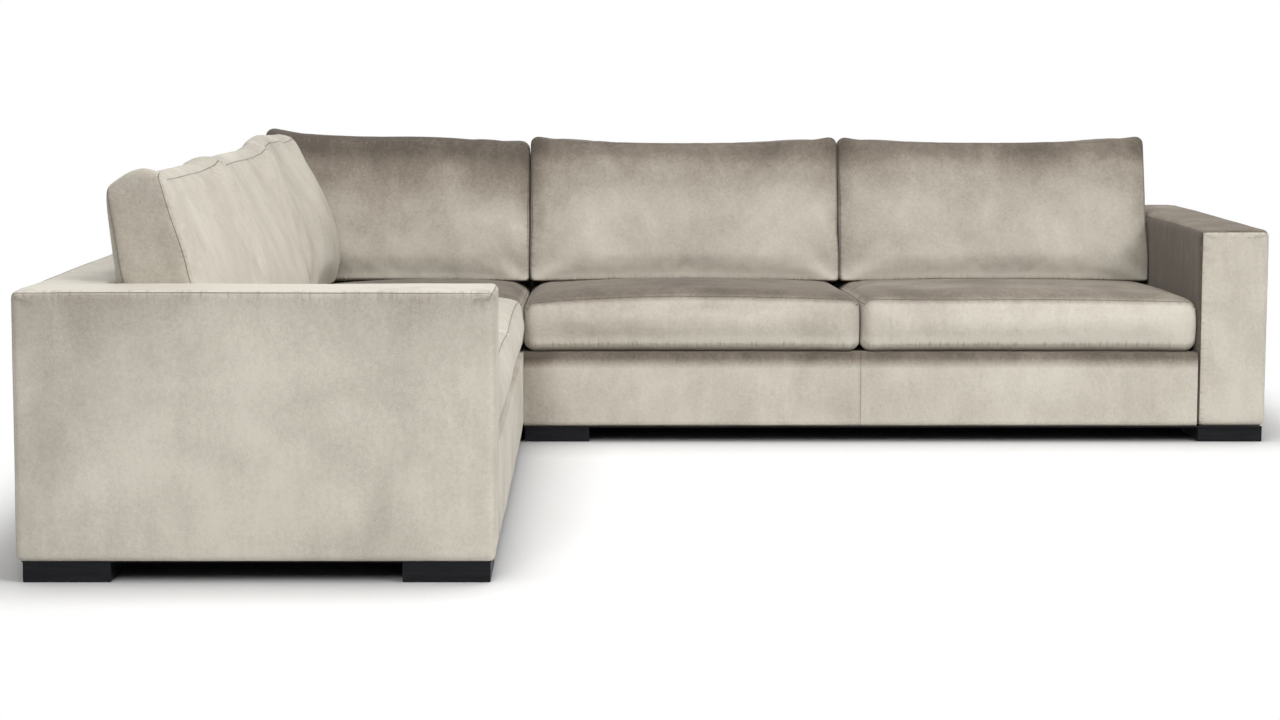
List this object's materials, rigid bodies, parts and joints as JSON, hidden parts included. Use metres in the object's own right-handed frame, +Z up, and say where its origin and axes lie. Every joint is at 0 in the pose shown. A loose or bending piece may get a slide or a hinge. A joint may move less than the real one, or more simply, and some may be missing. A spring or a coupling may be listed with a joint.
{
  "type": "corner sofa",
  "caption": "Velvet corner sofa with square block arms, loose boxed seat and back cushions, and low black block feet.",
  "frame": {"origin": "middle of the outline, on the floor under the feet", "axes": "+X along the far run towards its arm, +Y towards the far run's back, +Z up; the side run comes towards -Y on the -X side"},
  "size_m": [3.24, 2.95, 0.9052],
  "materials": {
    "cushion_velvet": "matte",
    "frame_velvet": "matte",
    "cushion_foam": "matte",
    "cushion_fibre": "matte",
    "wadding": "matte",
    "timber": "matte",
    "webbing": "matte",
    "deck_cloth": "matte",
    "dust_cloth": "matte",
    "black_block": "satin",
    "zinc_steel": "satin"
  },
  "bodies": {
    "root": {"back_webbing": "webbing", "base_rails": "timber", "corner_back_cover": "frame_velvet", "far_arm_cover": "frame_velvet", "far_arm_frame": "timber", "far_arm_padding": "wadding", "far_back_cover": "frame_velvet", "far_back_frame": "timber", "far_back_padding": "wadding", "far_border_cover": "frame_velvet", "far_border_padding": "wadding", "far_border_rail": "timber", "far_deck": "deck_cloth", "far_dust_cover": "dust_cloth", "foot_arm_back": "black_block", "foot_arm_front": "black_block", "foot_back_corner": "black_block", "foot_back_middle": "black_block", "foot_bolts": "zinc_steel", "foot_inner_corner": "black_block", "foot_near_left": "black_block", "foot_near_right": "black_block", "foot_side_outer": "black_block", "near_arm_cover": "frame_velvet", "near_arm_frame": "timber", "near_arm_padding": "wadding", "seat_webbing": "webbing", "side_back_cover": "frame_velvet", "side_back_frame": "timber", "side_back_padding": "wadding", "side_border_cover": "frame_velvet", "side_border_padding": "wadding", "side_border_rail": "timber", "side_deck": "deck_cloth", "side_dust_cover": "dust_cloth", "unit_bolts": "zinc_steel", "unit_nuts": "zinc_steel"},
    "far_seat_left": {"far_seat_left_cover": "cushion_velvet", "far_seat_left_core": "cushion_foam"},
    "far_seat_right": {"far_seat_right_cover": "cushion_velvet", "far_seat_right_core": "cushion_foam"},
    "corner_seat": {"corner_seat_cover": "cushion_velvet", "corner_seat_core": "cushion_foam"},
    "side_seat_near": {"side_seat_near_cover": "cushion_velvet", "side_seat_near_core": "cushion_foam"},
    "side_seat_inner": {"side_seat_inner_cover": "cushion_velvet", "side_seat_inner_core": "cushion_foam"},
    "far_back_left": {"far_back_left_cover": "cushion_velvet", "far_back_left_core": "cushion_fibre"},
    "far_back_right": {"far_back_right_cover": "cushion_velvet", "far_back_right_core": "cushion_fibre"},
    "corner_back_far": {"corner_back_far_cover": "cushion_velvet", "corner_back_far_core": "cushion_fibre"},
    "corner_back_side": {"corner_back_side_cover": "cushion_velvet", "corner_back_side_core": "cushion_fibre"},
    "side_back_near": {"side_back_near_cover": "cushion_velvet", "side_back_near_core": "cushion_fibre"},
    "side_back_inner": {"side_back_inner_cover": "cushion_velvet", "side_back_inner_core": "cushion_fibre"}
  },
  "joints": [
    {"name": "far_seat_left_lift", "type": "slide", "parent": "root", "child": "far_seat_left", "axis": [0, 0, 1], "range_m": [0, 0.35]},
    {"name": "far_seat_right_lift", "type": "slide", "parent": "root", "child": "far_seat_right", "axis": [0, 0, 1], "range_m": [0, 0.35]},
    {"name": "corner_seat_lift", "type": "slide", "parent": "root", "child": "corner_seat", "axis": [0, 0, 1], "range_m": [0, 0.35]},
    {"name": "side_seat_near_lift", "type": "slide", "parent": "root", "child": "side_seat_near", "axis": [0, 0, 1], "range_m": [0, 0.35]},
    {"name": "side_seat_inner_lift", "type": "slide", "parent": "root", "child": "side_seat_inner", "axis": [0, 0, 1], "range_m": [0, 0.35]},
    {"name": "far_back_left_lift", "type": "slide", "parent": "far_seat_left", "child": "far_back_left", "axis": [0, 0, 1], "range_m": [0, 0.45]},
    {"name": "far_back_right_lift", "type": "slide", "parent": "far_seat_right", "child": "far_back_right", "axis": [0, 0, 1], "range_m": [0, 0.45]},
    {"name": "corner_back_far_lift", "type": "slide", "parent": "corner_seat", "child": "corner_back_far", "axis": [0, 0, 1], "range_m": [0, 0.45]},
    {"name": "corner_back_side_lift", "type": "slide", "parent": "corner_seat", "child": "corner_back_side", "axis": [0, 0, 1], "range_m": [0, 0.45]},
    {"name": "side_back_near_lift", "type": "slide", "parent": "side_seat_near", "child": "side_back_near", "axis": [0, 0, 1], "range_m": [0, 0.45]},
    {"name": "side_back_inner_lift", "type": "slide", "parent": "side_seat_inner", "child": "side_back_inner", "axis": [0, 0, 1], "range_m": [0, 0.45]}
  ]
}
